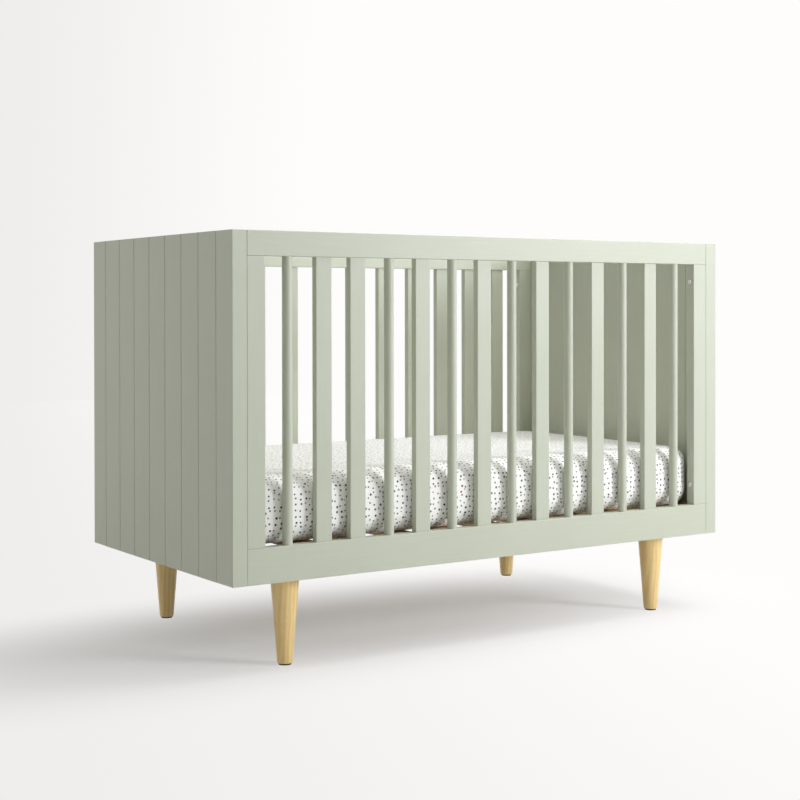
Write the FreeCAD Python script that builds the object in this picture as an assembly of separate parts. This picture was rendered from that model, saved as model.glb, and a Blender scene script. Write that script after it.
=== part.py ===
import FreeCAD, Part
import math
import os
from FreeCAD import Vector

# Full-size baby crib: two solid-looking end panels of vertical boards, a front and a back
# side frame of bars, four round tapered legs, and a mattress with a fitted sheet on a
# slatted support that hooks onto shoulder bolts at one of several heights.
# Millimetres. X runs along the length, the front is at -Y, Z is up, and the origin is on
# the floor under the middle of the crib.

# ---- overall sizes ----
INNER_LENGTH = 1330.0        # between the end panels: the full-size crib standard
DEPTH = 745.0                # over the front and back side frames
BOX_HEIGHT = 747.0           # from the bottom of the rails to the top of the rails
LEG_HEIGHT = 193.0           # floor to the bottom of the rails, glide included

# ---- end panels ----
END_THICKNESS = 35.0
POST_WIDTH = 75.0
BOARD_COUNT = 7              # boards between the two posts of an end
BOARD_THICKNESS = 12.0
INNER_PANEL_THICKNESS = 8.0
END_TOP_RAIL_HEIGHT = 60.0
END_BOTTOM_RAIL_HEIGHT = 77.0
V_GROOVE = 2.0               # chamfer on each side of a board joint
TONGUE_THICKNESS = 4.0
TONGUE_LENGTH = 6.0
RAIL_TENON = (8.0, 15.0)     # thickness and length of the end rails' tenons
RAIL_TENON_INSET = 10.0      # tenon shoulder above and below

# ---- side frames ----
SIDE_THICKNESS = 25.0
TOP_RAIL_HEIGHT = 54.0
BOTTOM_RAIL_HEIGHT = 77.0
STILE_WIDTH = 43.0
STILE_TENON = (27.0, 8.0, 20.0)
SLAT_SIZE = (39.5, 17.0)     # along X and through the frame
SLAT_TENON = (30.0, 9.0, 14.0)
DOWEL_DIAMETER = 22.0
DOWEL_TENON = (15.0, 14.0)   # diameter and length
FRONT_BARS = "DSSDSDSDSDSDSD"    # D is a round dowel bar, S is a flat slat, from the left
FRONT_END_GAP = 48.75        # stile to the first and to the last front bar
BACK_SLAT_COUNT = 12

# ---- legs ----
LEG_FROM_END = 163.0         # leg axis to the outer face of the end panel
LEG_FROM_SIDE = 70.0         # leg axis to the outer face of the side frame
LEG_TOP_DIAMETER = 64.0
LEG_FOOT_DIAMETER = 34.0
LEG_FOOT_ROUND = 3.0
GLIDE_THICKNESS = 3.0
GLIDE_PIN = (3.0, 12.0)      # diameter and length
LEG_RAIL_WIDTH = 90.0
LEG_RAIL_THICKNESS = 30.0
LEG_RAIL_TENON = (60.0, 12.0, 10.0)
HANGER_BOLT = (8.0, 35.0, 19.0)  # diameter, length down into the leg, length up
LEG_INSERT = (12.0, 20.0)    # outer diameter and length

# ---- side frame bolts ----
SIDE_BOLT_DIAMETER = 6.0
SIDE_BOLT_HEAD = (12.0, 3.5)
SIDE_BOLT_FROM_TOP = 98.0    # below the top of the crib
SIDE_BOLT_FROM_BOTTOM = 127.0    # above the bottom of the rails
INSERT = (10.0, 20.0)        # outer diameter and length of the inserts in the posts

# ---- mattress support ----
DECK_HEIGHT = 267.0          # top of the support's slats at its lowest setting
HEIGHT_STEP = 125.0          # between the settings
HEIGHT_COUNT = 3
SUPPORT_SIDE_GAP = 4.0       # support to the side frame
SUPPORT_RAIL_WIDTH = 30.0
SUPPORT_RAIL_HEIGHT = 25.0
SUPPORT_TENON = (20.0, 12.0, 12.0)
SUPPORT_SLAT_COUNT = 11
SUPPORT_SLAT_WIDTH = 60.0
SUPPORT_SLAT_THICKNESS = 12.0
PLATE = 3.0                  # thickness of the steel corner brackets
BRACKET_WIDTH = 30.0
BRACKET_FLANGE = 50.0        # length of the flange under the rail
BRACKET_LAP = 22.0           # height of the plate on the rail's end
SHOULDER_DIAMETER = 8.0
SHOULDER_HEAD = (12.0, 3.5)
BOLT_BELOW_RAIL = 12.0       # shoulder bolt axis below the support rail
PLATE_BELOW_BOLT = 10.0
SCREW_DIAMETER = 4.0
SCREW_HEAD_DIAMETER = 8.0
SLAT_SCREW_LENGTH = 30.0
BRACKET_SCREW_LENGTH = 18.0
CROSS_RECESS = (4.4, 1.0, 1.6)   # length, width and depth of the recess in a screw's head

# ---- mattress ----
MATTRESS_END_GAP = 12.0      # mattress to the end panel
MATTRESS_SIDE_GAP = 2.5      # mattress to the side frame
MATTRESS_HEIGHT = 152.0
MATTRESS_CORNER = 45.0
MATTRESS_EDGE = 30.0
SHEET_THICKNESS = 1.5
SHEET_HEM = 70.0             # width of the hem under the mattress

# ---- fits ----
EASE = 1.5                   # rounding of the wooden edges
FIT = 0.2                    # all-round clearance of tenons, tongues and holes
RUNNING = 0.3                # gap between pieces that move apart

# ---- places worked out from the sizes ----
END_INNER = INNER_LENGTH / 2
END_OUTER = END_INNER + END_THICKNESS
HALF_DEPTH = DEPTH / 2
SIDE_INNER = HALF_DEPTH - SIDE_THICKNESS
SIDE_MID = HALF_DEPTH - SIDE_THICKNESS / 2
BOTTOM = LEG_HEIGHT
TOP = BOTTOM + BOX_HEIGHT
RAIL_TOP = BOTTOM + BOTTOM_RAIL_HEIGHT       # top of the front and back bottom rails
RAIL_UNDER = TOP - TOP_RAIL_HEIGHT           # underside of the front and back top rails
STILE_INNER = END_INNER - STILE_WIDTH
POST_INNER = HALF_DEPTH - POST_WIDTH
BOARD_WIDTH = 2 * POST_INNER / BOARD_COUNT
BOARD_INNER = END_OUTER - BOARD_THICKNESS
PANEL_OUTER = END_INNER + INNER_PANEL_THICKNESS
TONGUE_X = END_OUTER - (BOARD_THICKNESS + V_GROOVE) / 2
LEG_X = END_OUTER - LEG_FROM_END
LEG_Y = HALF_DEPTH - LEG_FROM_SIDE
SIDE_BOLT_HEIGHTS = (BOTTOM + SIDE_BOLT_FROM_BOTTOM, TOP - SIDE_BOLT_FROM_TOP)
SUPPORT_END = END_INNER - RUNNING - PLATE
SUPPORT_OUTER = SIDE_INNER - SUPPORT_SIDE_GAP
SUPPORT_RAIL_INNER = SUPPORT_OUTER - SUPPORT_RAIL_WIDTH
SUPPORT_RAIL_TOP = DECK_HEIGHT - SUPPORT_SLAT_THICKNESS
SUPPORT_RAIL_UNDER = SUPPORT_RAIL_TOP - SUPPORT_RAIL_HEIGHT
SUPPORT_MID = SUPPORT_OUTER - SUPPORT_RAIL_WIDTH / 2
HOOK_Y = (SIDE_INNER + POST_INNER) / 2       # middle of the post face inside the crib
HOOK_Z = SUPPORT_RAIL_UNDER - BOLT_BELOW_RAIL
MATTRESS_UNDER = DECK_HEIGHT + RUNNING


def box(x, y, z):
    """A box between the two ends of each (low, high) pair."""
    size = [max(pair) - min(pair) for pair in (x, y, z)]
    return Part.makeBox(*size, Vector(min(x), min(y), min(z)))


def eased(x, y, z, ease=EASE):
    """A box with all its edges rounded."""
    solid = box(x, y, z)
    return solid.makeFillet(ease, solid.Edges)


def rod(diameter, start, direction, length):
    return Part.makeCylinder(diameter / 2, length, Vector(*start), Vector(*direction))


def mirror_x(shape):
    return shape.mirror(Vector(0, 0, 0), Vector(1, 0, 0))


def mirror_y(shape):
    return shape.mirror(Vector(0, 0, 0), Vector(0, 1, 0))


def four_corners(shape):
    """The shape at +X +Y and its three mirror copies."""
    pair = [shape, mirror_x(shape)]
    return pair + [mirror_y(item) for item in pair]


def save(name, shapes):
    if not isinstance(shapes, list):
        shapes = [shapes]
    solids = [solid for shape in shapes for solid in shape.Solids]
    Part.makeCompound(solids).exportStep("parts/%s.step" % name)
    print(name, len(solids), "solids", round(sum(solid.Volume for solid in solids)))


# ---- end panels ----

def tongue(y_joint, side, grow=0.0):
    """The tongue of a board, on the side of the joint that side (+1 or -1) points to."""
    half = TONGUE_THICKNESS / 2 + grow
    reach = TONGUE_LENGTH + 2 * grow
    return box((TONGUE_X - half, TONGUE_X + half), (y_joint, y_joint + side * reach), (BOTTOM, TOP))


def end_post():
    """The rear post of the right end, grooved for the boards and cut for rails and bolts."""
    post = eased((END_INNER, END_OUTER), (POST_INNER, HALF_DEPTH), (BOTTOM, TOP))
    corner = Part.makePolygon([Vector(END_OUTER + EASE, POST_INNER - EASE, BOTTOM),
                               Vector(END_OUTER + EASE, POST_INNER + V_GROOVE + EASE, BOTTOM),
                               Vector(END_OUTER - V_GROOVE - EASE, POST_INNER - EASE, BOTTOM),
                               Vector(END_OUTER + EASE, POST_INNER - EASE, BOTTOM)])
    cuts = [Part.Face(corner).extrude(Vector(0, 0, BOX_HEIGHT)), tongue(POST_INNER, 1, FIT)]
    for low, high in ((BOTTOM, BOTTOM + END_BOTTOM_RAIL_HEIGHT), (TOP - END_TOP_RAIL_HEIGHT, TOP)):
        cuts.append(end_rail_tenon(low, high, FIT))
    for height in SIDE_BOLT_HEIGHTS:
        cuts.append(rod(INSERT[0], (END_INNER, SIDE_MID, height), (1, 0, 0), INSERT[1] + 5))
    for step in range(HEIGHT_COUNT):
        place = (END_INNER, HOOK_Y, HOOK_Z + step * HEIGHT_STEP)
        cuts.append(rod(INSERT[0], place, (1, 0, 0), INSERT[1] + 5))
    return post.cut(cuts)


def end_rail_tenon(low, high, grow=0.0):
    middle = (PANEL_OUTER + BOARD_INNER) / 2
    half = RAIL_TENON[0] / 2 + grow
    inset = RAIL_TENON_INSET - grow
    return box((middle - half, middle + half), (POST_INNER, POST_INNER + RAIL_TENON[1] + grow),
               (low + inset, high - inset))


def end_rail(low, high):
    """A rail between the posts, behind the boards, with a tenon at each end."""
    rail = box((PANEL_OUTER, BOARD_INNER), (-POST_INNER, POST_INNER), (low, high))
    tenon = end_rail_tenon(low, high)
    return rail.fuse([tenon, mirror_y(tenon)])


def end_board(index):
    """One board of the right end, with its outer vertical edges chamfered."""
    low = -POST_INNER + index * BOARD_WIDTH
    high = low + BOARD_WIDTH
    outline = [(BOARD_INNER, low), (BOARD_INNER, high), (END_OUTER - V_GROOVE, high),
               (END_OUTER, high - V_GROOVE), (END_OUTER, low + V_GROOVE),
               (END_OUTER - V_GROOVE, low), (BOARD_INNER, low)]
    wire = Part.makePolygon([Vector(x, y, BOTTOM) for x, y in outline])
    board = Part.Face(wire).extrude(Vector(0, 0, BOX_HEIGHT)).fuse(tongue(high, 1))
    if index == 0:
        return board.fuse(tongue(low, -1))
    return board.cut(tongue(low, 1, FIT))


def build_ends():
    post = end_post()
    panel = box((END_INNER, PANEL_OUTER), (-POST_INNER, POST_INNER), (BOTTOM, TOP))
    pieces = {
        "end_rear_post": post,
        "end_front_post": mirror_y(post),
        "end_boards": Part.makeCompound([end_board(index) for index in range(BOARD_COUNT)]),
        "end_top_rail": end_rail(TOP - END_TOP_RAIL_HEIGHT, TOP),
        "end_bottom_rail": end_rail(BOTTOM, BOTTOM + END_BOTTOM_RAIL_HEIGHT),
        "end_inner_panel": panel,
    }
    for name, shape in pieces.items():
        save("right_" + name, shape)
        save("left_" + name, mirror_x(shape))


# ---- side frames ----

def bar_width(kind):
    return DOWEL_DIAMETER if kind == "D" else SLAT_SIZE[0]


def bar_tenons(kind, x, grow=0.0):
    """The two end tenons of a bar, which also cut the holes for it in the rails."""
    if kind == "D":
        diameter, length = DOWEL_TENON
        lower = rod(diameter + 2 * grow, (x, SIDE_MID, RAIL_TOP), (0, 0, -1), length + grow)
        upper = rod(diameter + 2 * grow, (x, SIDE_MID, RAIL_UNDER), (0, 0, 1), length + grow)
        return [lower, upper]
    return block_tenons(SLAT_TENON, x, grow)


def block_tenons(size, x, grow=0.0):
    wide, thick, length = size
    across = (x - wide / 2 - grow, x + wide / 2 + grow)
    through = (SIDE_MID - thick / 2 - grow, SIDE_MID + thick / 2 + grow)
    return [box(across, through, (RAIL_TOP - length - grow, RAIL_TOP)),
            box(across, through, (RAIL_UNDER, RAIL_UNDER + length + grow))]


def bar(kind, x):
    """A dowel or a slat with its tenons, in the back frame."""
    if kind == "D":
        body = rod(DOWEL_DIAMETER, (x, SIDE_MID, RAIL_TOP), (0, 0, 1), RAIL_UNDER - RAIL_TOP)
    else:
        wide, thick = SLAT_SIZE
        body = box((x - wide / 2, x + wide / 2), (SIDE_MID - thick / 2, SIDE_MID + thick / 2),
                   (RAIL_TOP, RAIL_UNDER))
        upright = [edge for edge in body.Edges if abs(edge.tangentAt(0).z) > 0.9]
        body = body.makeFillet(EASE, upright)
    return body.fuse(bar_tenons(kind, x))


def stile():
    """The right stile of the back frame, bored for its two bolts."""
    body = eased((STILE_INNER, END_INNER), (SIDE_INNER, HALF_DEPTH), (RAIL_TOP, RAIL_UNDER))
    body = body.fuse(block_tenons(STILE_TENON, END_INNER - STILE_WIDTH / 2))
    holes = [rod(SIDE_BOLT_DIAMETER + 2 * FIT, (STILE_INNER, SIDE_MID, height), (1, 0, 0), STILE_WIDTH)
             for height in SIDE_BOLT_HEIGHTS]
    return body.cut(holes)


def side_rails(bars):
    """The bottom and top rails of the back frame, with holes for the bars and stiles."""
    length = (-END_INNER, END_INNER)
    through = (SIDE_INNER, HALF_DEPTH)
    cuts = []
    for kind, x in bars:
        cuts += bar_tenons(kind, x, FIT)
    for sign in (-1, 1):
        cuts += block_tenons(STILE_TENON, sign * (END_INNER - STILE_WIDTH / 2), FIT)
    leg_tenon = leg_rail_tenon(FIT)
    bottom = eased(length, through, (BOTTOM, RAIL_TOP)).cut(cuts + [leg_tenon, mirror_x(leg_tenon)])
    top = eased(length, through, (RAIL_UNDER, TOP)).cut(cuts)
    return bottom, top


def save_side_frame(side, bars, place):
    bottom, top = side_rails(bars)
    right = stile()
    save(side + "_bottom_rail", place(bottom))
    save(side + "_top_rail", place(top))
    save(side + "_right_stile", place(right))
    save(side + "_left_stile", place(mirror_x(right)))


def build_sides():
    first = -STILE_INNER + FRONT_END_GAP + bar_width(FRONT_BARS[0]) / 2
    last = STILE_INNER - FRONT_END_GAP - bar_width(FRONT_BARS[-1]) / 2
    pitch = (last - first) / (len(FRONT_BARS) - 1)
    front = [(kind, first + index * pitch) for index, kind in enumerate(FRONT_BARS)]
    save_side_frame("front", front, mirror_y)
    for number, (kind, x) in enumerate(front, 1):
        word = "dowel" if kind == "D" else "slat"
        save("front_%s_%02d" % (word, number), mirror_y(bar(kind, x)))

    gap = (2 * STILE_INNER - BACK_SLAT_COUNT * SLAT_SIZE[0]) / (BACK_SLAT_COUNT + 1)
    pitch = gap + SLAT_SIZE[0]
    first = -pitch * (BACK_SLAT_COUNT - 1) / 2
    back = [("S", first + index * pitch) for index in range(BACK_SLAT_COUNT)]
    save_side_frame("back", back, lambda shape: shape)
    save("back_slats", [bar(kind, x) for kind, x in back])


def build_side_bolts():
    """Bolts through the stiles into threaded inserts in the posts."""
    bolts, inserts = [], []
    length = STILE_WIDTH + INSERT[1]
    for height in SIDE_BOLT_HEIGHTS:
        head = rod(SIDE_BOLT_HEAD[0], (STILE_INNER, SIDE_MID, height), (-1, 0, 0), SIDE_BOLT_HEAD[1])
        head = head.makeFillet(SIDE_BOLT_HEAD[1] / 2, [outer_edge(head, STILE_INNER - SIDE_BOLT_HEAD[1])])
        socket = hex_socket(STILE_INNER - SIDE_BOLT_HEAD[1], SIDE_MID, height)
        shank = rod(SIDE_BOLT_DIAMETER, (STILE_INNER, SIDE_MID, height), (1, 0, 0), length)
        bolts += four_corners(head.cut(socket).fuse(shank))
        inserts += four_corners(post_insert(SIDE_MID, height))
    save("side_frame_bolts", bolts)
    save("side_frame_inserts", inserts)


def outer_edge(head, x):
    """The round edge of a bolt head at its outer face."""
    return next(edge for edge in head.Edges
                if edge.Closed and abs(edge.CenterOfMass.x - x) < 0.01)


def hex_socket(x, y, z, across=4.0, depth=2.0):
    """The prism of a hexagon socket that opens towards -X."""
    radius = across / math.sqrt(3)
    corners = [Vector(x, y + radius * math.cos(math.radians(60 * turn)),
                      z + radius * math.sin(math.radians(60 * turn))) for turn in range(7)]
    return Part.Face(Part.makePolygon(corners)).extrude(Vector(depth, 0, 0))


def post_insert(y, z):
    outer = rod(INSERT[0], (END_INNER, y, z), (1, 0, 0), INSERT[1])
    return outer.cut(rod(SIDE_BOLT_DIAMETER, (END_INNER, y, z), (1, 0, 0), INSERT[1]))


# ---- legs ----

def leg_rail_tenon(grow=0.0):
    wide, thick, length = LEG_RAIL_TENON
    middle = BOTTOM + LEG_RAIL_THICKNESS / 2
    return box((LEG_X - wide / 2 - grow, LEG_X + wide / 2 + grow), (SIDE_INNER, SIDE_INNER + length + grow),
               (middle - thick / 2 - grow, middle + thick / 2 + grow))


def build_legs():
    foot = GLIDE_THICKNESS
    leg = Part.makeCone(LEG_FOOT_DIAMETER / 2, LEG_TOP_DIAMETER / 2, LEG_HEIGHT - foot,
                        Vector(LEG_X, LEG_Y, foot))
    rim = next(edge for edge in leg.Edges if edge.Closed and abs(edge.CenterOfMass.z - foot) < 0.01)
    leg = leg.makeFillet(LEG_FOOT_ROUND, [rim])
    bolt_diameter, down, up = HANGER_BOLT
    pin_diameter, pin_length = GLIDE_PIN
    leg = leg.cut([rod(bolt_diameter, (LEG_X, LEG_Y, BOTTOM), (0, 0, -1), down),
                   rod(pin_diameter, (LEG_X, LEG_Y, foot), (0, 0, 1), pin_length)])
    names = ("rear_right_leg", "rear_left_leg", "front_right_leg", "front_left_leg")
    for name, shape in zip(names, four_corners(leg)):
        save(name, shape)

    glide = rod(LEG_FOOT_DIAMETER - 2 * LEG_FOOT_ROUND, (LEG_X, LEG_Y, 0), (0, 0, 1), foot)
    save("leg_glides", four_corners(glide.fuse(rod(pin_diameter, (LEG_X, LEG_Y, 0), (0, 0, 1),
                                                   foot + pin_length))))
    bolt = rod(bolt_diameter, (LEG_X, LEG_Y, BOTTOM - down), (0, 0, 1), down + up)
    save("leg_hanger_bolts", four_corners(bolt))
    outer = rod(LEG_INSERT[0], (LEG_X, LEG_Y, BOTTOM), (0, 0, 1), LEG_INSERT[1])
    save("leg_inserts", four_corners(outer.cut(bolt)))

    rail = eased((LEG_X - LEG_RAIL_WIDTH / 2, LEG_X + LEG_RAIL_WIDTH / 2), (-SIDE_INNER, SIDE_INNER),
                 (BOTTOM, BOTTOM + LEG_RAIL_THICKNESS))
    tenon = leg_rail_tenon()
    socket = rod(LEG_INSERT[0], (LEG_X, LEG_Y, BOTTOM), (0, 0, 1), LEG_INSERT[1])
    rail = rail.fuse([tenon, mirror_y(tenon)]).cut([socket, mirror_y(socket)])
    save("right_leg_rail", rail)
    save("left_leg_rail", mirror_x(rail))


# ---- mattress support ----

def support_tenon(grow=0.0):
    """The tenon that joins the right end rail to the rear side rail."""
    wide, thick, length = SUPPORT_TENON
    x = SUPPORT_END - SUPPORT_RAIL_WIDTH / 2
    z = (SUPPORT_RAIL_TOP + SUPPORT_RAIL_UNDER) / 2
    return box((x - wide / 2 - grow, x + wide / 2 + grow),
               (SUPPORT_RAIL_INNER, SUPPORT_RAIL_INNER + length + grow),
               (z - thick / 2 - grow, z + thick / 2 + grow))


def screw(x, y, z, direction, length, grow=0.0):
    """A countersunk screw whose head is flush at z; direction is +1 up or -1 down."""
    axis = Vector(0, 0, direction)
    head_height = (SCREW_HEAD_DIAMETER - SCREW_DIAMETER) / 2
    head = Part.makeCone(SCREW_HEAD_DIAMETER / 2 + grow, SCREW_DIAMETER / 2 + grow, head_height,
                         Vector(x, y, z), axis)
    return head.fuse(rod(SCREW_DIAMETER + 2 * grow, (x, y, z), tuple(axis), length + grow))


def driven_screw(x, y, z, direction, length):
    """A screw with the cross recess that it is driven by."""
    long, wide, deep = CROSS_RECESS
    span = sorted((z, z + direction * deep))
    cross = box((x - long / 2, x + long / 2), (y - wide / 2, y + wide / 2), span).fuse(
        box((x - wide / 2, x + wide / 2), (y - long / 2, y + long / 2), span))
    return screw(x, y, z, direction, length).cut(cross)


def support_slat_places():
    last = SUPPORT_END - SUPPORT_SLAT_WIDTH / 2
    pitch = 2 * last / (SUPPORT_SLAT_COUNT - 1)
    return [-last + index * pitch for index in range(SUPPORT_SLAT_COUNT)]


def bracket_screw_places():
    return [SUPPORT_END - BRACKET_FLANGE * share for share in (0.35, 0.8)]


def bracket_screw_holes():
    return [screw(x, HOOK_Y, SUPPORT_RAIL_UNDER - PLATE, 1, BRACKET_SCREW_LENGTH, FIT / 2)
            for x in bracket_screw_places()]


def bracket():
    """The rear right corner bracket: a plate with an open slot that hooks on a shoulder bolt."""
    across = (HOOK_Y - BRACKET_WIDTH / 2, HOOK_Y + BRACKET_WIDTH / 2)
    foot = HOOK_Z - PLATE_BELOW_BOLT
    plate = box((SUPPORT_END, SUPPORT_END + PLATE), across, (foot, SUPPORT_RAIL_UNDER + BRACKET_LAP))
    flange = box((SUPPORT_END - BRACKET_FLANGE, SUPPORT_END + PLATE), across,
                 (SUPPORT_RAIL_UNDER - PLATE, SUPPORT_RAIL_UNDER))
    width = SHOULDER_DIAMETER + 2 * RUNNING
    slot = box((SUPPORT_END, SUPPORT_END + PLATE), (HOOK_Y - width / 2, HOOK_Y + width / 2), (foot, HOOK_Z))
    eye = rod(width, (SUPPORT_END, HOOK_Y, HOOK_Z), (1, 0, 0), PLATE)
    return plate.fuse(flange).cut([slot, eye] + bracket_screw_holes())


def build_support():
    screws = [screw(x, SUPPORT_MID, DECK_HEIGHT, -1, SLAT_SCREW_LENGTH, FIT / 2)
              for x in support_slat_places()]
    hooks = bracket_screw_holes()
    rail = eased((-SUPPORT_END, SUPPORT_END), (SUPPORT_RAIL_INNER, SUPPORT_OUTER),
                 (SUPPORT_RAIL_UNDER, SUPPORT_RAIL_TOP))
    tenon = support_tenon(FIT)
    rail = rail.cut(screws + hooks + [mirror_x(item) for item in hooks] + [tenon, mirror_x(tenon)])
    save("support_rear_rail", rail)
    save("support_front_rail", mirror_y(rail))

    end = eased((SUPPORT_END - SUPPORT_RAIL_WIDTH, SUPPORT_END), (-SUPPORT_RAIL_INNER, SUPPORT_RAIL_INNER),
                (SUPPORT_RAIL_UNDER, SUPPORT_RAIL_TOP))
    tenon = support_tenon()
    end = end.fuse([tenon, mirror_y(tenon)]).cut(hooks + [mirror_y(item) for item in hooks])
    save("support_right_rail", end)
    save("support_left_rail", mirror_x(end))

    slats = []
    for x in support_slat_places():
        slat = eased((x - SUPPORT_SLAT_WIDTH / 2, x + SUPPORT_SLAT_WIDTH / 2),
                     (-SUPPORT_OUTER, SUPPORT_OUTER), (SUPPORT_RAIL_TOP, DECK_HEIGHT))
        hole = screw(x, SUPPORT_MID, DECK_HEIGHT, -1, SLAT_SCREW_LENGTH, FIT / 2)
        slats.append(slat.cut([hole, mirror_y(hole)]))
    save("support_slats", slats)
    driven = [driven_screw(x, SUPPORT_MID, DECK_HEIGHT, -1, SLAT_SCREW_LENGTH)
              for x in support_slat_places()]
    save("support_slat_screws", [copy for item in driven for copy in (item, mirror_y(item))])
    save("support_brackets", four_corners(bracket()))
    driven = [driven_screw(x, HOOK_Y, SUPPORT_RAIL_UNDER - PLATE, 1, BRACKET_SCREW_LENGTH)
              for x in bracket_screw_places()]
    save("support_bracket_screws", [copy for item in driven for copy in four_corners(item)])


def build_support_bolts():
    """Shoulder bolts at the lowest setting, and the threaded inserts of every setting."""
    under_head = SUPPORT_END - RUNNING
    head = rod(SHOULDER_HEAD[0], (under_head, HOOK_Y, HOOK_Z), (-1, 0, 0), SHOULDER_HEAD[1])
    head = head.makeFillet(SHOULDER_HEAD[1] / 2, [outer_edge(head, under_head - SHOULDER_HEAD[1])])
    head = head.cut(hex_socket(under_head - SHOULDER_HEAD[1], HOOK_Y, HOOK_Z))
    shoulder = rod(SHOULDER_DIAMETER, (under_head, HOOK_Y, HOOK_Z), (1, 0, 0), END_INNER - under_head)
    thread = rod(SIDE_BOLT_DIAMETER, (under_head, HOOK_Y, HOOK_Z), (1, 0, 0),
                 END_INNER - under_head + INSERT[1])
    save("support_bolts", four_corners(head.fuse([shoulder, thread])))
    inserts = []
    for step in range(HEIGHT_COUNT):
        inserts += four_corners(post_insert(HOOK_Y, HOOK_Z + step * HEIGHT_STEP))
    save("support_inserts", inserts)


# ---- mattress ----

def cushion(inset):
    """The mattress's rounded block, made smaller all round by inset."""
    half_x = END_INNER - MATTRESS_END_GAP - inset
    half_y = SIDE_INNER - MATTRESS_SIDE_GAP - inset
    block = box((-half_x, half_x), (-half_y, half_y),
                (MATTRESS_UNDER + inset, MATTRESS_UNDER + MATTRESS_HEIGHT - inset))
    upright = [edge for edge in block.Edges if abs(edge.tangentAt(0).z) > 0.9]
    block = block.makeFillet(MATTRESS_CORNER - inset, upright)
    flat = [edge for edge in block.Edges if abs(edge.tangentAt(edge.FirstParameter).z) < 0.1]
    return block.makeFillet(MATTRESS_EDGE - inset, flat)


def build_mattress():
    core = cushion(SHEET_THICKNESS)
    save("mattress_core", core)
    opening_x = END_INNER - MATTRESS_END_GAP - SHEET_HEM
    opening_y = SIDE_INNER - MATTRESS_SIDE_GAP - SHEET_HEM
    opening = box((-opening_x, opening_x), (-opening_y, opening_y),
                  (MATTRESS_UNDER - 1, MATTRESS_UNDER + SHEET_THICKNESS + 1))
    save("fitted_sheet", cushion(0.0).cut([core, opening]))


os.makedirs("parts", exist_ok=True)
build_ends()
build_sides()
build_side_bolts()
build_legs()
build_support()
build_support_bolts()
build_mattress()
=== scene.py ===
"""The finish of the baby crib: sage lacquer, turned beech legs, zinc hardware, a slatted
pine support, and a mattress in a dotted fitted sheet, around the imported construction.

Metres throughout. X runs along the crib, the front is at -Y, and Z is up from the floor.
"""
import math
import bmesh
import bpy
import numpy as np
from mathutils import Matrix, Vector


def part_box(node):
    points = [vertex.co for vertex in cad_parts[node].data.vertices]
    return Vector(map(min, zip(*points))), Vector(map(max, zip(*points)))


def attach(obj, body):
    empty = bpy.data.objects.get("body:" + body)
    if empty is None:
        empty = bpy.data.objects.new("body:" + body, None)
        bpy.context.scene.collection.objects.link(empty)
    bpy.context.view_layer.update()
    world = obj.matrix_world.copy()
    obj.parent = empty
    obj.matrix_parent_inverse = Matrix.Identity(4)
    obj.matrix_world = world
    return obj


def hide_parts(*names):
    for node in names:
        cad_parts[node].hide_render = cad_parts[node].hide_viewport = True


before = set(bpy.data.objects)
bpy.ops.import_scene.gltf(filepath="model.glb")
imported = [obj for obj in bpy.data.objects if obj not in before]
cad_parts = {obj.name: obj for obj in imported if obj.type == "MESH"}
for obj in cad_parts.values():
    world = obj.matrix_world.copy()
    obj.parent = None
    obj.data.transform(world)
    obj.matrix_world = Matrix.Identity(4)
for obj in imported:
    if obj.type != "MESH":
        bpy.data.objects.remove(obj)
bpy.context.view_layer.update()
MM = 0.001
TINY = 1e-9                          # keeps a division by a length of nothing safe

# ---- camera ----
CAMERA_PLACE = Vector((-2.157, -3.195, 0.776))
CAMERA_YAW = math.radians(33.61)     # from straight at the front, turned to the right
CAMERA_TILT = math.radians(0.43)     # downwards
CAMERA_ROLL = math.radians(-0.08)
CAMERA_LENS = 68.36                  # millimetres, as is the sensor's width
CAMERA_SENSOR = 36.0
CAMERA_SHIFT = -0.101

# ---- studio ----
LAMPS = (                            # name, place, where it points, size, watts, colour
    ("key", (2.5, -3.45, 1.6), (0.0, 0.0, 0.45), 1.2, 109.0, (0.98, 1.0, 1.06)),
    ("overhead", (0.9, -0.3, 2.7), (0.1, 0.0, 0.45), 1.6, 52.0, (1.0, 1.0, 1.0)),
    ("fill", (-2.8, 1.6, 1.0), (-0.7, 0.0, 0.55), 1.6, 11.0, (1.0, 1.0, 1.0)),
)
SKY_STRENGTH = 0.30
PAPER = "#FEFDFC"
PAPER_PAINTED_SHADE = "#EEEDEB"               # painted shade: the far left of the backdrop, darker away from the key
WALL_SHADE_SWEEP = (0.30, 0.53)            # where the painted shade fades into the white, as the X of the view's direction
FLOOR_SHADE_SWEEP = (-1.1, 0.8)            # and on the floor, in metres along the way set on the next line
# the way across the floor along which its paper goes from painted shade to white
FLOOR_SHADE_SWEEP_WAY = (0.83, -0.28, 0.0)
FLOOR_REACH = 9.0
FLOOR_PAPER = 0.30                   # share of the paper white in the floor at the crib
SHADOW_POOL = (0.95, 0.36)           # half-lengths of the crib's soft shadow along X and Y
SHADOW_CENTRE = (-0.20, -0.03)
SHADOW_FADE = (0.3, 1.8)             # where the shadow starts and ends, in half-lengths

# ---- finishes ----
BAND = 6.3                           # a wave texture's scale is 1 / (BAND * one band's width)
LACQUER_GRAIN = 4 * MM
LACQUER_CLOUD = 180 * MM
ORANGE_PEEL = 2.2 * MM
BEECH_BAND = 5 * MM
BEECH_FIBRE = 0.9 * MM
BEECH_FLECK = 2.4 * MM
PINE_BAND = 5 * MM
PINE_FIBRE = 1.2 * MM
ZINC_CLOUD = 3 * MM
COAT_PEBBLE = 0.8 * MM
GLIDE_SKIN = 0.6 * MM
TICKING_BAND = 20 * MM
TICKING_WEAVE = 1 * MM
PERCALE_THREAD = 1 * MM
DOT_SPACING = 12.5 * MM
DOT_RADIUS = 2.5 * MM
DOT_RAG = 3 * MM                     # size of the bumps in a dot's outline

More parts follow.
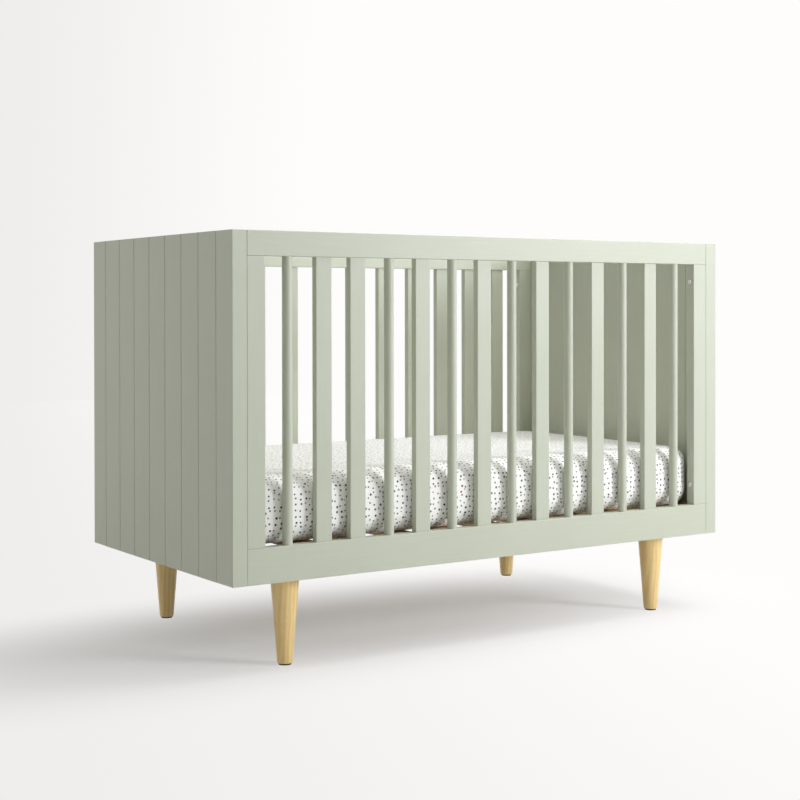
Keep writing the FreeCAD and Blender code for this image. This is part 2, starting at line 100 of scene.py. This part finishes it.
# ---- mattress and sheet ----
MATTRESS_CORNER = 60 * MM            # corner radius seen from above
MATTRESS_TOP_EDGE = 38 * MM          # radius of the roll along the top
MATTRESS_LOW_EDGE = 34 * MM          # and along the bottom
MATTRESS_INSET = 7 * MM              # the mattress itself, inside the sheet's outer size
MATTRESS_GAP = 1 * MM                # between its top and the inside of the sheet
MATTRESS_STEP = 16 * MM              # grid spacing
MATTRESS_CROWN = 4 * MM              # fall of the top from its middle to its edges
SHEET_STEP = 12.5 * MM               # grid spacing of the simulated cloth
SHEET_THICKNESS = 1.2 * MM
SHEET_START = 3 * MM                 # the cloth starts this much inside the real sides
SHEET_START_TOP = 0.3 * MM           # and inside the real top and bottom
SHEET_CAP = 6 * MM                   # furthest that the simulation may move a point
SHEET_FRAMES = 20
SHEET_HEM = 70 * MM
SHEET_DECK_GAP = 0.2 * MM
HELD_FROM = 10 * MM                  # the cloth is held from here inwards from its edge,
HELD_FADE = 60 * MM                  # fully so after this much more
HELD_LEVELS = 10
RIPPLE = 0.8 * MM                    # heights of the forms in the cloth
TAPE_RIDGE = 1.5 * MM
GATHER = 3.4 * MM
CREASE = 2.2 * MM
TAPE_INSET = 34 * MM                 # the mattress's taped edge, from its side
TAPE_WIDTH = 5 * MM
HOLE_POWER = 16                      # so high that the hole is a rectangle with round corners
HOLE_DEPTH = 8 * MM                  # only cloth this near to the bottom is cut away
MERGE_WITHIN = 0.02 * MM


# ---- small helpers ----

def linear(code):
    """An sRGB hex colour as linear RGBA."""
    parts = [int(code[i:i + 2], 16) / 255 for i in (1, 3, 5)]
    parts = [c / 12.92 if c <= 0.04045 else ((c + 0.055) / 1.055) ** 2.4 for c in parts]
    return (*parts, 1.0)


def add(tree, kind, inputs=None, stops=(), **settings):
    """Adds a node to a tree. An input is a value or another node's output socket, and stops
    are the places and hex colours on a colour ramp."""
    made = tree.nodes.new(kind)
    for name, value in settings.items():
        setattr(made, name, value)
    for name, value in (inputs or {}).items():
        if isinstance(value, bpy.types.NodeSocket):
            tree.links.new(value, made.inputs[name])
        else:
            made.inputs[name].default_value = value
    for number, (position, code) in enumerate(stops):
        ramp = made.color_ramp.elements
        stop = ramp[number] if number < len(ramp) else ramp.new(position)
        stop.position = position
        stop.color = linear(code)
    return made


def new_material(name):
    material = bpy.data.materials.new(name)
    material.use_nodes = True
    material.node_tree.nodes.clear()
    return material, material.node_tree


def finished(material, shader):
    add(material.node_tree, "ShaderNodeOutputMaterial", {"Surface": shader.outputs[0]})
    return material


def drawn_out(axis, share):
    """Mapping scales that draw a pattern out along one axis, to 1 / share of its own length."""
    return [share if letter == axis else 1.0 for letter in "XYZ"]


def set_mesh(name, points, faces):
    mesh = bpy.data.meshes.new(name)
    mesh.from_pydata(points.tolist(), [], faces.tolist())
    mesh.update()
    piece = bpy.data.objects.new(name, mesh)
    bpy.context.scene.collection.objects.link(piece)
    return piece


def get_points(mesh):
    points = np.zeros(len(mesh.vertices) * 3)
    mesh.vertices.foreach_get("co", points)
    return points.reshape(-1, 3)


def put_points(mesh, points):
    mesh.vertices.foreach_set("co", points.reshape(-1))
    mesh.update()


def give(names, material):
    """Puts a material on CAD nodes."""
    for name in names:
        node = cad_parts[name]
        node.data.materials.clear()
        node.data.materials.append(material)


# ---- finishes ----

def sage_lacquer(name, along):
    """Satin water-based lacquer sprayed on solid beech: one even sage colour with a soft
    sheen, a faint orange peel, and the grain just showing through along the piece."""
    material, tree = new_material(name)
    place = add(tree, "ShaderNodeTexCoord").outputs["Object"]
    lengthways = add(tree, "ShaderNodeMapping", {"Vector": place, "Scale": drawn_out(along, 0.035)})
    grain = add(tree, "ShaderNodeTexNoise", {"Vector": lengthways.outputs[0],
                                             "Scale": 1 / LACQUER_GRAIN,
                                             "Detail": 4.0, "Roughness": 0.6})
    cloud = add(tree, "ShaderNodeTexNoise", {"Vector": place, "Scale": 1 / LACQUER_CLOUD,
                                             "Detail": 2.0})
    shade = add(tree, "ShaderNodeMix", {"Factor": 0.35, "A": grain.outputs["Fac"],
                                        "B": cloud.outputs["Fac"]}, data_type="FLOAT")
    colour = add(tree, "ShaderNodeValToRGB", {"Fac": shade.outputs[0]},
                 stops=((0.3, "#BABEAB"), (0.7, "#C0C4B2")))
    peel = add(tree, "ShaderNodeTexNoise", {"Vector": place, "Scale": 1 / ORANGE_PEEL,
                                            "Detail": 1.0})
    fibres = add(tree, "ShaderNodeBump", {"Height": grain.outputs["Fac"], "Strength": 0.05,
                                          "Distance": 0.2 * MM})
    relief = add(tree, "ShaderNodeBump", {"Height": peel.outputs["Fac"], "Strength": 0.08,
                                          "Distance": 0.2 * MM, "Normal": fibres.outputs[0]})
    return finished(material, add(tree, "ShaderNodeBsdfPrincipled", {
        "Base Color": colour.outputs[0], "Roughness": 0.46, "IOR": 1.5,
        "Normal": relief.outputs[0]}))


def lacquered_beech():
    """Turned beech under clear lacquer: soft light and dark growth-ring bands 5 mm wide, with
    short brown flecks along the grain, which runs up the piece."""
    material, tree = new_material("lacquered beech")
    place = add(tree, "ShaderNodeTexCoord").outputs["Object"]
    upright = add(tree, "ShaderNodeMapping", {"Vector": place, "Scale": drawn_out("Z", 0.12)})
    rings = add(tree, "ShaderNodeTexWave", {"Vector": upright.outputs[0],
                                            "Scale": 1 / (BEECH_BAND * BAND), "Distortion": 5.0,
                                            "Detail": 3.0, "Detail Scale": 1.5},
                wave_type="BANDS", bands_direction="X")
    fibre_way = add(tree, "ShaderNodeMapping", {"Vector": place, "Scale": drawn_out("Z", 0.05)})
    fibre = add(tree, "ShaderNodeTexNoise", {"Vector": fibre_way.outputs[0],
                                             "Scale": 1 / BEECH_FIBRE, "Detail": 3.0})
    fleck_way = add(tree, "ShaderNodeMapping", {"Vector": place, "Scale": drawn_out("Z", 0.22)})
    flecks = add(tree, "ShaderNodeTexVoronoi", {"Vector": fleck_way.outputs[0],
                                                "Scale": 1 / BEECH_FLECK})
    spots = add(tree, "ShaderNodeMapRange", {"Value": flecks.outputs["Distance"],
                                             "From Min": 0.10, "From Max": 0.24,
                                             "To Min": 1.0, "To Max": 0.0})
    bands = add(tree, "ShaderNodeMix", {"Factor": 0.5, "A": rings.outputs["Fac"],
                                        "B": fibre.outputs["Fac"]}, data_type="FLOAT")
    wood = add(tree, "ShaderNodeValToRGB", {"Fac": bands.outputs[0]},
               stops=((0.25, "#F0D290"), (0.8, "#E3C078")))
    faint = add(tree, "ShaderNodeMath", {0: spots.outputs[0], 1: 0.35}, operation="MULTIPLY")
    colour = add(tree, "ShaderNodeMix", {"Factor": faint.outputs[0], "A": wood.outputs[0],
                                         "B": linear("#B0843F")}, data_type="RGBA")
    relief = add(tree, "ShaderNodeBump", {"Height": fibre.outputs["Fac"], "Strength": 0.12,
                                          "Distance": 0.15 * MM})
    return finished(material, add(tree, "ShaderNodeBsdfPrincipled", {
        "Base Color": colour.outputs[2], "Roughness": 0.45, "Coat Weight": 0.7,
        "Coat Roughness": 0.42, "IOR": 1.5, "Normal": relief.outputs[0]}))


def planed_pine(name, along):
    """Bare planed pine for the support, matt, with the grain along the piece: pale early wood
    that darkens over 10 mm to each tan late-wood line."""
    material, tree = new_material(name)
    place = add(tree, "ShaderNodeTexCoord").outputs["Object"]
    lengthways = add(tree, "ShaderNodeMapping", {"Vector": place, "Scale": drawn_out(along, 0.06)})
    lines = add(tree, "ShaderNodeTexWave", {"Vector": lengthways.outputs[0],
                                            "Scale": 1 / (PINE_BAND * BAND), "Distortion": 7.0,
                                            "Detail": 3.0, "Detail Scale": 1.0},
                wave_type="BANDS", bands_direction="X" if along == "Y" else "Y",
                wave_profile="SAW")
    colour = add(tree, "ShaderNodeValToRGB", {"Fac": lines.outputs["Fac"]},
                 stops=((0.0, "#CFB083"), (1.0, "#A37C4B")))
    fibre = add(tree, "ShaderNodeTexNoise", {"Vector": lengthways.outputs[0],
                                             "Scale": 1 / PINE_FIBRE})
    relief = add(tree, "ShaderNodeBump", {"Height": fibre.outputs["Fac"], "Strength": 0.2,
                                          "Distance": 0.2 * MM})
    return finished(material, add(tree, "ShaderNodeBsdfPrincipled", {
        "Base Color": colour.outputs[0], "Roughness": 0.68, "Normal": relief.outputs[0]}))


def zinc_plate():
    """Bright zinc on steel: a cool pale metal, a little uneven where the plating pooled."""
    material, tree = new_material("zinc plate on steel")
    place = add(tree, "ShaderNodeTexCoord").outputs["Object"]
    cloud = add(tree, "ShaderNodeTexNoise", {"Vector": place, "Scale": 1 / ZINC_CLOUD,
                                             "Detail": 2.0})
    rough = add(tree, "ShaderNodeMapRange", {"Value": cloud.outputs["Fac"],
                                             "To Min": 0.22, "To Max": 0.42})
    return finished(material, add(tree, "ShaderNodeBsdfPrincipled", {
        "Base Color": linear("#D5D4CF"), "Metallic": 1.0, "Roughness": rough.outputs[0]}))


def powder_coat():
    """Black polyester powder coat on sheet steel: matt with a fine pebbled skin."""
    material, tree = new_material("black powder coat")
    place = add(tree, "ShaderNodeTexCoord").outputs["Object"]
    pebble = add(tree, "ShaderNodeTexNoise", {"Vector": place, "Scale": 1 / COAT_PEBBLE,
                                              "Detail": 2.0})
    relief = add(tree, "ShaderNodeBump", {"Height": pebble.outputs["Fac"], "Strength": 0.3,
                                          "Distance": 0.1 * MM})
    return finished(material, add(tree, "ShaderNodeBsdfPrincipled", {
        "Base Color": linear("#26262A"), "Roughness": 0.55, "Normal": relief.outputs[0]}))


def glide_plastic():
    """Moulded polyamide glide: near-black brown with a fine matt texture."""
    material, tree = new_material("moulded polyamide")
    place = add(tree, "ShaderNodeTexCoord").outputs["Object"]
    skin = add(tree, "ShaderNodeTexNoise", {"Vector": place, "Scale": 1 / GLIDE_SKIN})
    relief = add(tree, "ShaderNodeBump", {"Height": skin.outputs["Fac"], "Strength": 0.15,
                                          "Distance": 0.08 * MM})
    return finished(material, add(tree, "ShaderNodeBsdfPrincipled", {
        "Base Color": linear("#2E241A"), "Roughness": 0.6, "Normal": relief.outputs[0]}))


def dotted_percale():
    """White cotton percale printed with small uneven dots, mostly charcoal and grey, about
    12 mm apart. The threads are drawn 1 mm wide, coarser than the real 0.3 mm, so that they
    show."""
    material, tree = new_material("dotted cotton percale")
    cloth = add(tree, "ShaderNodeUVMap", uv_map="cloth").outputs["UV"]
    cells = add(tree, "ShaderNodeTexVoronoi", {"Vector": cloth, "Scale": 1 / DOT_SPACING,
                                               "Randomness": 0.58}, voronoi_dimensions="2D")
    chance = add(tree, "ShaderNodeSeparateColor", {"Color": cells.outputs["Color"]})
    reach = add(tree, "ShaderNodeMapRange", {"Value": chance.outputs[0],
                                             "To Min": 0.72 * DOT_RADIUS / DOT_SPACING,
                                             "To Max": 1.15 * DOT_RADIUS / DOT_SPACING})
    ragged = add(tree, "ShaderNodeTexNoise", {"Vector": cloth, "Scale": 1 / DOT_RAG},
                 noise_dimensions="2D")
    wobble = add(tree, "ShaderNodeMath", {0: ragged.outputs["Fac"], 1: -0.5}, operation="ADD")
    uneven = add(tree, "ShaderNodeMath", {0: wobble.outputs[0], 1: 0.08,
                                          2: cells.outputs["Distance"]}, operation="MULTIPLY_ADD")
    inside = add(tree, "ShaderNodeMath", {0: reach.outputs[0], 1: uneven.outputs[0]},
                 operation="SUBTRACT")
    dot = add(tree, "ShaderNodeMapRange", {"Value": inside.outputs[0], "From Min": -0.012,
                                           "From Max": 0.022}, interpolation_type="SMOOTHSTEP")
    ink = add(tree, "ShaderNodeValToRGB", {"Fac": chance.outputs[1]},
              stops=((0.0, "#3E3F42"), (0.40, "#606164"), (0.72, "#8E8E90"), (0.95, "#B98F86")))
    ink.color_ramp.interpolation = "CONSTANT"
    colour = add(tree, "ShaderNodeMix", {"Factor": dot.outputs[0], "A": linear("#F7F6F2"),
                                         "B": ink.outputs[0]}, data_type="RGBA")
    warp, weft = (add(tree, "ShaderNodeTexWave", {"Vector": cloth,
                                                  "Scale": 1 / (PERCALE_THREAD * BAND)},
                      bands_direction=way) for way in "XY")
    threads = add(tree, "ShaderNodeMath", {0: warp.outputs["Fac"], 1: weft.outputs["Fac"]},
                  operation="MULTIPLY")
    relief = add(tree, "ShaderNodeBump", {"Height": threads.outputs[0], "Strength": 0.25,
                                          "Distance": 0.15 * MM})
    return finished(material, add(tree, "ShaderNodeBsdfPrincipled", {
        "Base Color": colour.outputs[2], "Roughness": 0.85, "Sheen Weight": 0.7,
        "Sheen Roughness": 0.35, "Normal": relief.outputs[0]}))


def ticking():
    """The mattress's own cover: white polyester ticking with thin grey stripes 40 mm apart."""
    material, tree = new_material("striped ticking")
    place = add(tree, "ShaderNodeTexCoord").outputs["Object"]
    stripes = add(tree, "ShaderNodeTexWave", {"Vector": place,
                                              "Scale": 1 / (TICKING_BAND * BAND)},
                  bands_direction="Y")
    colour = add(tree, "ShaderNodeValToRGB", {"Fac": stripes.outputs["Fac"]},
                 stops=((0.90, "#EDECE7"), (0.97, "#B9BBBB")))
    weave = add(tree, "ShaderNodeTexNoise", {"Vector": place, "Scale": 1 / TICKING_WEAVE})
    relief = add(tree, "ShaderNodeBump", {"Height": weave.outputs["Fac"], "Strength": 0.2,
                                          "Distance": 0.2 * MM})
    return finished(material, add(tree, "ShaderNodeBsdfPrincipled", {
        "Base Color": colour.outputs[0], "Roughness": 0.9, "Normal": relief.outputs[0]}))


# ---- the mattress and its fitted sheet ----

def rounded(points, half, plan_radius, top_radius, low_radius):
    """Moves points of a box's surface onto the same box with rounded corners.

    In plan, a corner square is mapped onto a quarter disc, ring by ring. In height, the last
    radius of the top or bottom and of the side is bent onto a quarter circle."""
    edge_radius = np.where(points[:, 2] > 0, top_radius, low_radius)
    flat_half = half[:2] - plan_radius
    core = np.clip(points[:, :2], -flat_half, flat_half)
    offset = points[:, :2] - core
    ring = np.abs(offset).max(axis=1)
    normal = offset / np.maximum(np.linalg.norm(offset, axis=1), TINY)[:, None]
    inside = plan_radius - ring
    drop = half[2] - np.abs(points[:, 2])
    inward = np.maximum(edge_radius - inside, 0)
    upward = np.maximum(edge_radius - drop, 0)
    size = np.maximum(np.hypot(inward, upward), TINY)
    reach = np.maximum(inward, upward)
    new_inside = np.where(inward > 0, edge_radius - inward / size * reach, inside)
    new_drop = np.where(upward > 0, edge_radius - upward / size * reach, drop)
    result = points.copy()
    result[:, :2] = core + normal * (plan_radius - new_inside)[:, None]
    result[:, 2] = np.sign(points[:, 2]) * (half[2] - new_drop)
    return result


def box_surface(half, step):
    """The six faces of a box as grids of points, with the quads that join them and, for each
    point, where it lies on cloth wrapped over the box from the top."""
    points, quads, cloth = [], [], []
    total = 0
    for axis in range(3):
        first, second = [a for a in range(3) if a != axis]
        for sign in (-1, 1):
            counts = [int(round(2 * half[a] / step)) + 1 for a in (first, second)]
            u, v = np.meshgrid(np.linspace(-half[first], half[first], counts[0]),
                               np.linspace(-half[second], half[second], counts[1]),
                               indexing="ij")
            face = np.zeros(u.shape + (3,))
            face[..., first], face[..., second], face[..., axis] = u, v, sign * half[axis]
            drop = half[2] - face[..., 2]
            wrap = face[..., :2].copy()
            if axis < 2:
                wrap[..., axis] += sign * drop
            elif sign < 0:
                wrap[..., 1] += 2 * (half[1] + half[2]) + half[1]
            index = total + np.arange(u.size).reshape(u.shape)
            corners = [index[:-1, :-1], index[1:, :-1], index[1:, 1:], index[:-1, 1:]]
            if (sign > 0) == (axis == 1):
                corners.reverse()
            quads.append(np.stack(corners, axis=-1).reshape(-1, 4))
            points.append(face.reshape(-1, 3))
            cloth.append(wrap.reshape(-1, 2))
            total += u.size
    return np.concatenate(points), np.concatenate(quads), np.concatenate(cloth)


def padded_block(name, half, centre, step, shape):
    """A closed rounded block with a cloth UV map; shape moves its points before they merge."""
    flat, quads, cloth = box_surface(half, step)
    points = rounded(flat, half, MATTRESS_CORNER, MATTRESS_TOP_EDGE, MATTRESS_LOW_EDGE)
    piece = set_mesh(name, shape(flat, points, half) + centre, quads)
    layer = piece.data.uv_layers.new(name="cloth")
    layer.data.foreach_set("uv", cloth[quads.reshape(-1)].reshape(-1))
    work = bmesh.new()
    work.from_mesh(piece.data)
    bmesh.ops.remove_doubles(work, verts=work.verts, dist=MERGE_WITHIN)
    work.to_mesh(piece.data)
    work.free()
    piece.data.polygons.foreach_set("use_smooth", [True] * len(piece.data.polygons))
    return piece


def waves(along, lengths, seed):
    """A sum of sines of several wavelengths with fixed random phases, about -1 to 1."""
    draw = np.random.default_rng(seed)
    total = sum(np.sin(2 * math.pi * along / length + draw.uniform(0, 2 * math.pi))
                for length in lengths)
    return total / len(lengths)


def on_top(flat, half):
    """1 on the top of the block, falling to 0 down its sides as the fourth power of height."""
    return np.clip(flat[:, 2] / half[2], 0, 1) ** 4


def crowned(flat, points, half):
    """The top falls from the middle to the edges: the fourth power of x and the square of y."""
    x, y, z = points.T
    crown = (1 - (x / half[0]) ** 4) * (1 - (y / half[1]) ** 2) - 1
    return np.stack([x, y, z + on_top(flat, half) * MATTRESS_CROWN * crown], axis=1)


def sheet_shape(flat, points, half):
    """The sheet over the crowned mattress: faint ripples on top, the ridge of the mattress's
    taped edge, and gathers that fade out up the sides from the elastic underneath.

    A ripple is the product of two sums of slanted waves, the ridge a bell curve across the
    edge, and a gather or crease a sum of waves along the side, slanted by the height."""
    x, y, z = crowned(flat, points, half).T
    ripple = waves(x + 0.6 * y, (0.31, 0.19, 0.13), 3) * waves(y - 0.3 * x, (0.27, 0.16), 5)
    edge = np.minimum(half[0] - np.abs(x), half[1] - np.abs(y))
    ridge = np.exp(-((edge - TAPE_INSET) / TAPE_WIDTH) ** 2)
    z = z + on_top(flat, half) * (RIPPLE * ripple + TAPE_RIDGE * ridge)
    low = np.clip((0.3 * half[2] - flat[:, 2]) / (1.3 * half[2]), 0, 1)
    around = np.where(np.abs(x) / half[0] > np.abs(y) / half[1], y, x)
    gather = waves(around + 0.5 * flat[:, 2], (0.061, 0.083, 0.137), 7)
    crease = waves(around - 0.9 * flat[:, 2], (0.043, 0.074), 11)
    on_side = np.abs(flat[:, :2]) > half[:2] - MERGE_WITHIN
    push = low * (1 - low ** 6) * (GATHER * gather + CREASE * crease)
    push = np.where(on_side.any(axis=1), push, 0)
    outward = np.sign(flat[:, :2]) * on_side
    outward /= np.maximum(np.linalg.norm(outward, axis=1, keepdims=True), TINY)
    return np.stack([x, y, z], axis=1) + np.pad(outward * push[:, None], ((0, 0), (0, 1)))


def inflate(piece, half, centre):
    """Lets the sides of the cloth fill out under light pressure, moving no point inwards or
    further than SHEET_CAP. The flat of the top and bottom is held, fading out at the edges."""
    before = get_points(piece.data)
    outward = np.zeros(before.size)
    piece.data.vertices.foreach_get("normal", outward)
    outward = outward.reshape(-1, 3)
    edge = (half[:2] - np.abs(before[:, :2] - centre[:2])).min(axis=1)
    weight = np.clip((edge - HELD_FROM) / HELD_FADE, 0, 1)
    held = piece.vertex_groups.new(name="held")
    for level in range(1, HELD_LEVELS + 1):
        chosen = np.nonzero(np.ceil(weight * HELD_LEVELS) == level)[0].tolist()
        held.add(chosen, level / HELD_LEVELS, "REPLACE")
    cloth = piece.modifiers.new("fill", "CLOTH")
    settings = cloth.settings
    settings.quality = 4
    settings.mass = 0.2
    settings.tension_stiffness = 12
    settings.compression_stiffness = 12
    settings.shear_stiffness = 6
    settings.bending_stiffness = 0.3
    settings.shrink_min = -0.015
    settings.vertex_group_mass = "held"
    settings.use_pressure = True
    settings.uniform_pressure_force = 4
    settings.effector_weights.gravity = 0
    cloth.point_cache.frame_start = 1
    cloth.point_cache.frame_end = SHEET_FRAMES
    for number in range(1, SHEET_FRAMES + 1):
        bpy.context.scene.frame_set(number)
    shown = piece.evaluated_get(bpy.context.evaluated_depsgraph_get())
    move = get_points(shown.data) - before
    piece.modifiers.remove(cloth)
    bpy.context.scene.frame_set(1)
    piece.vertex_groups.clear()
    inward = np.minimum((move * outward).sum(axis=1, keepdims=True), 0)
    move -= inward * outward
    far = np.linalg.norm(move, axis=1, keepdims=True)
    move *= np.minimum(1, SHEET_CAP / np.maximum(far, TINY))
    put_points(piece.data, before + move)


def keep_off_deck(piece, lowest):
    """Flattens the cloth where it lies on the slats."""
    points = get_points(piece.data)
    points[:, 2] = np.maximum(points[:, 2], lowest)
    put_points(piece.data, points)


def open_underneath(piece, low, half, centre):
    """Cuts the hole that a fitted sheet has under the mattress, inside its hem: the faces
    within a superellipse."""
    work = bmesh.new()
    work.from_mesh(piece.data)
    limit = half[:2] - SHEET_HEM
    gone = []
    for face in work.faces:
        middle = face.calc_center_median()
        across = (abs(middle.x - centre[0]) / limit[0]) ** HOLE_POWER \
            + (abs(middle.y - centre[1]) / limit[1]) ** HOLE_POWER
        if face.normal.z < -0.5 and middle.z < low + HOLE_DEPTH and across < 1:
            gone.append(face)
    bmesh.ops.delete(work, geom=gone, context="FACES")
    work.to_mesh(piece.data)
    work.free()


def make_mattress(cotton, cover):
    low, high = (np.array(corner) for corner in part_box("fitted_sheet"))
    centre, half = (low + high) / 2, (high - low) / 2
    body_half = half - MATTRESS_INSET
    body_half[2] = half[2] - SHEET_THICKNESS - MATTRESS_GAP
    body = padded_block("mattress_body", body_half, centre, MATTRESS_STEP, crowned)
    body.data.materials.append(cover)
    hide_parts("mattress_core")
    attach(body, "mattress")

    start = half - SHEET_START
    start[2] = half[2] - SHEET_START_TOP
    sheet = padded_block("dotted_sheet", start, centre, SHEET_STEP, sheet_shape)
    inflate(sheet, half, centre)
    keep_off_deck(sheet, low[2] + SHEET_DECK_GAP)
    open_underneath(sheet, low[2], half, centre)
    thick = sheet.modifiers.new("cloth thickness", "SOLIDIFY")
    thick.thickness = SHEET_THICKNESS
    thick.offset = -1
    smooth = sheet.modifiers.new("smooth", "SUBSURF")
    smooth.levels = smooth.render_levels = 1
    sheet.data.materials.append(cotton)
    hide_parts("fitted_sheet")
    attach(sheet, "mattress")


# ---- the crib's own pieces ----

def finish_frame():
    """Gives each CAD node the finish of what it is made of, with the grain along the piece."""
    names = sorted(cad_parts)
    level = [n for n in names if n.endswith(("_bottom_rail", "_top_rail")) and "_end_" not in n]
    crossing = [n for n in names
                if n.endswith("_leg_rail") or ("_end_" in n and n.endswith("_rail"))]
    finishes = (
        (sage_lacquer("sage lacquer, grain along the crib", "X"), level),
        (sage_lacquer("sage lacquer, grain across the crib", "Y"), crossing),
        (lacquered_beech(), [n for n in names if n.endswith("_leg")]),
        (zinc_plate(), [n for n in names if n.endswith(("_bolts", "_inserts", "_screws"))]),
        (planed_pine("planed pine, along the crib", "X"),
         ["support_front_rail", "support_rear_rail"]),
        (planed_pine("planed pine, across the crib", "Y"),
         ["support_left_rail", "support_right_rail", "support_slats"]),
        (powder_coat(), ["support_brackets"]),
        (glide_plastic(), ["leg_glides"]),
    )
    done = {"mattress_core", "fitted_sheet"}    # replaced by the pieces above
    for material, chosen in finishes:
        give(chosen, material)
        done.update(chosen)
    give([n for n in names if n not in done], sage_lacquer("sage lacquer, grain upright", "Z"))


# ---- studio ----

def set_camera():
    data = bpy.data.cameras.new("camera")
    data.lens, data.sensor_width, data.shift_y = CAMERA_LENS, CAMERA_SENSOR, CAMERA_SHIFT
    forward = Vector((math.sin(CAMERA_YAW) * math.cos(CAMERA_TILT),
                      math.cos(CAMERA_YAW) * math.cos(CAMERA_TILT), -math.sin(CAMERA_TILT)))
    right = Vector((math.cos(CAMERA_YAW), -math.sin(CAMERA_YAW), 0))
    up = right.cross(forward)
    turn = Matrix((right, up, -forward)).transposed() @ Matrix.Rotation(CAMERA_ROLL, 3, "Z")
    camera = bpy.data.objects.new("camera", data)
    camera.matrix_world = Matrix.Translation(CAMERA_PLACE) @ turn.to_4x4()
    bpy.context.scene.collection.objects.link(camera)
    bpy.context.scene.camera = camera


def soft_box(name, place, aim, size, power, colour):
    """A square lamp, turned to point at aim."""
    data = bpy.data.lights.new(name, "AREA")
    data.energy, data.size, data.color = power, size, colour
    light = bpy.data.objects.new(name, data)
    way = Vector(aim) - Vector(place)
    turn = way.to_track_quat("-Z", "Y").to_matrix().to_4x4()
    light.matrix_world = Matrix.Translation(place) @ turn
    bpy.context.scene.collection.objects.link(light)


def seen_plainly(tree):
    """1 for a ray from the camera, or one that metal, lacquer or glass sends on, and 0 for the
    rays that light the crib."""
    ray = add(tree, "ShaderNodeLightPath")
    seen = add(tree, "ShaderNodeMath", {0: ray.outputs["Is Camera Ray"],
                                        1: ray.outputs["Is Glossy Ray"]}, operation="MAXIMUM")
    return add(tree, "ShaderNodeMath", {0: seen.outputs[0],
                                        1: ray.outputs["Is Transmission Ray"]},
               operation="MAXIMUM").outputs[0]


def paper_with_painted_shade(tree, place, ends):
    """The backdrop's paper with painted shade: from a darker tone at the left, away from the key,
    to its white between two places.
    """
    # painted shade: the paper darker towards the left, fading to white
    shade_sweep = add(tree, "ShaderNodeMapRange", {"Value": place, "From Min": ends[0],
                                             "From Max": ends[1]},
                interpolation_type="SMOOTHSTEP")
    return add(tree, "ShaderNodeValToRGB", {"Fac": shade_sweep.outputs[0]},
               stops=((0.0, PAPER_PAINTED_SHADE), (1.0, PAPER))).outputs[0]


def set_backdrop():
    """A dim even sky that lights the crib, and paper where it is seen, with painted shade towards
    its left.
    """
    world = bpy.data.worlds.new("studio")
    bpy.context.scene.world = world
    world.use_nodes = True
    tree = world.node_tree
    tree.nodes.clear()
    sky = add(tree, "ShaderNodeBackground", {"Color": (1, 1, 1, 1), "Strength": SKY_STRENGTH})
    way = add(tree, "ShaderNodeTexCoord").outputs["Generated"]
    # painted shade: the paper seen darker towards the left, away from the key
    shade_heading = add(tree, "ShaderNodeSeparateXYZ", {0: way}).outputs[0]
    paper = add(tree, "ShaderNodeBackground", {"Color": paper_with_painted_shade(tree, shade_heading, WALL_SHADE_SWEEP),
                                               "Strength": 1.0})
    both = add(tree, "ShaderNodeMixShader", {0: seen_plainly(tree), 1: sky.outputs[0],
                                             2: paper.outputs[0]})
    add(tree, "ShaderNodeOutputWorld", {"Surface": both.outputs[0]})


def set_floor():
    """A matt floor that keeps the crib's shadow, and turns to paper away from it, with painted
    shade towards the left of the paper: the distance from the crib is measured in half-lengths of
    the shadow."""
    corners = np.array([[-1, -1, 0], [1, -1, 0], [1, 1, 0], [-1, 1, 0]]) * FLOOR_REACH
    floor = set_mesh("floor", corners, np.array([[0, 1, 2, 3]]))
    material, tree = new_material("studio floor")
    place = add(tree, "ShaderNodeTexCoord").outputs["Object"]
    (wide, deep), (centre_x, centre_y) = SHADOW_POOL, SHADOW_CENTRE
    pool = add(tree, "ShaderNodeMapping", {
        "Vector": place, "Scale": (1 / wide, 1 / deep, 0),
        "Location": (-centre_x / wide, -centre_y / deep, 0)})
    far = add(tree, "ShaderNodeVectorMath", {0: pool.outputs[0]}, operation="LENGTH")
    fade = add(tree, "ShaderNodeMapRange", {"Value": far.outputs["Value"],
                                            "From Min": SHADOW_FADE[0],
                                            "From Max": SHADOW_FADE[1], "To Min": FLOOR_PAPER},
               interpolation_type="SMOOTHSTEP")
    # painted shade: the place along the floor where its paper goes from darker at the left to white
    across = add(tree, "ShaderNodeVectorMath", {0: place, 1: FLOOR_SHADE_SWEEP_WAY},
                 operation="DOT_PRODUCT").outputs["Value"]
    seen = add(tree, "ShaderNodeMath", {0: fade.outputs[0], 1: seen_plainly(tree)},
               operation="MULTIPLY")
    matt = add(tree, "ShaderNodeBsdfDiffuse", {"Color": linear("#EFEEEB")})
    paper = add(tree, "ShaderNodeEmission", {"Color": paper_with_painted_shade(tree, across, FLOOR_SHADE_SWEEP),
                                             "Strength": 1.0})
    both = add(tree, "ShaderNodeMixShader", {0: seen.outputs[0], 1: matt.outputs[0],
                                             2: paper.outputs[0]})
    floor.data.materials.append(finished(material, both))


finish_frame()
make_mattress(dotted_percale(), ticking())
set_camera()
set_backdrop()
set_floor()
for lamp in LAMPS:
    soft_box(*lamp)
bpy.context.scene.view_settings.view_transform = "Standard"
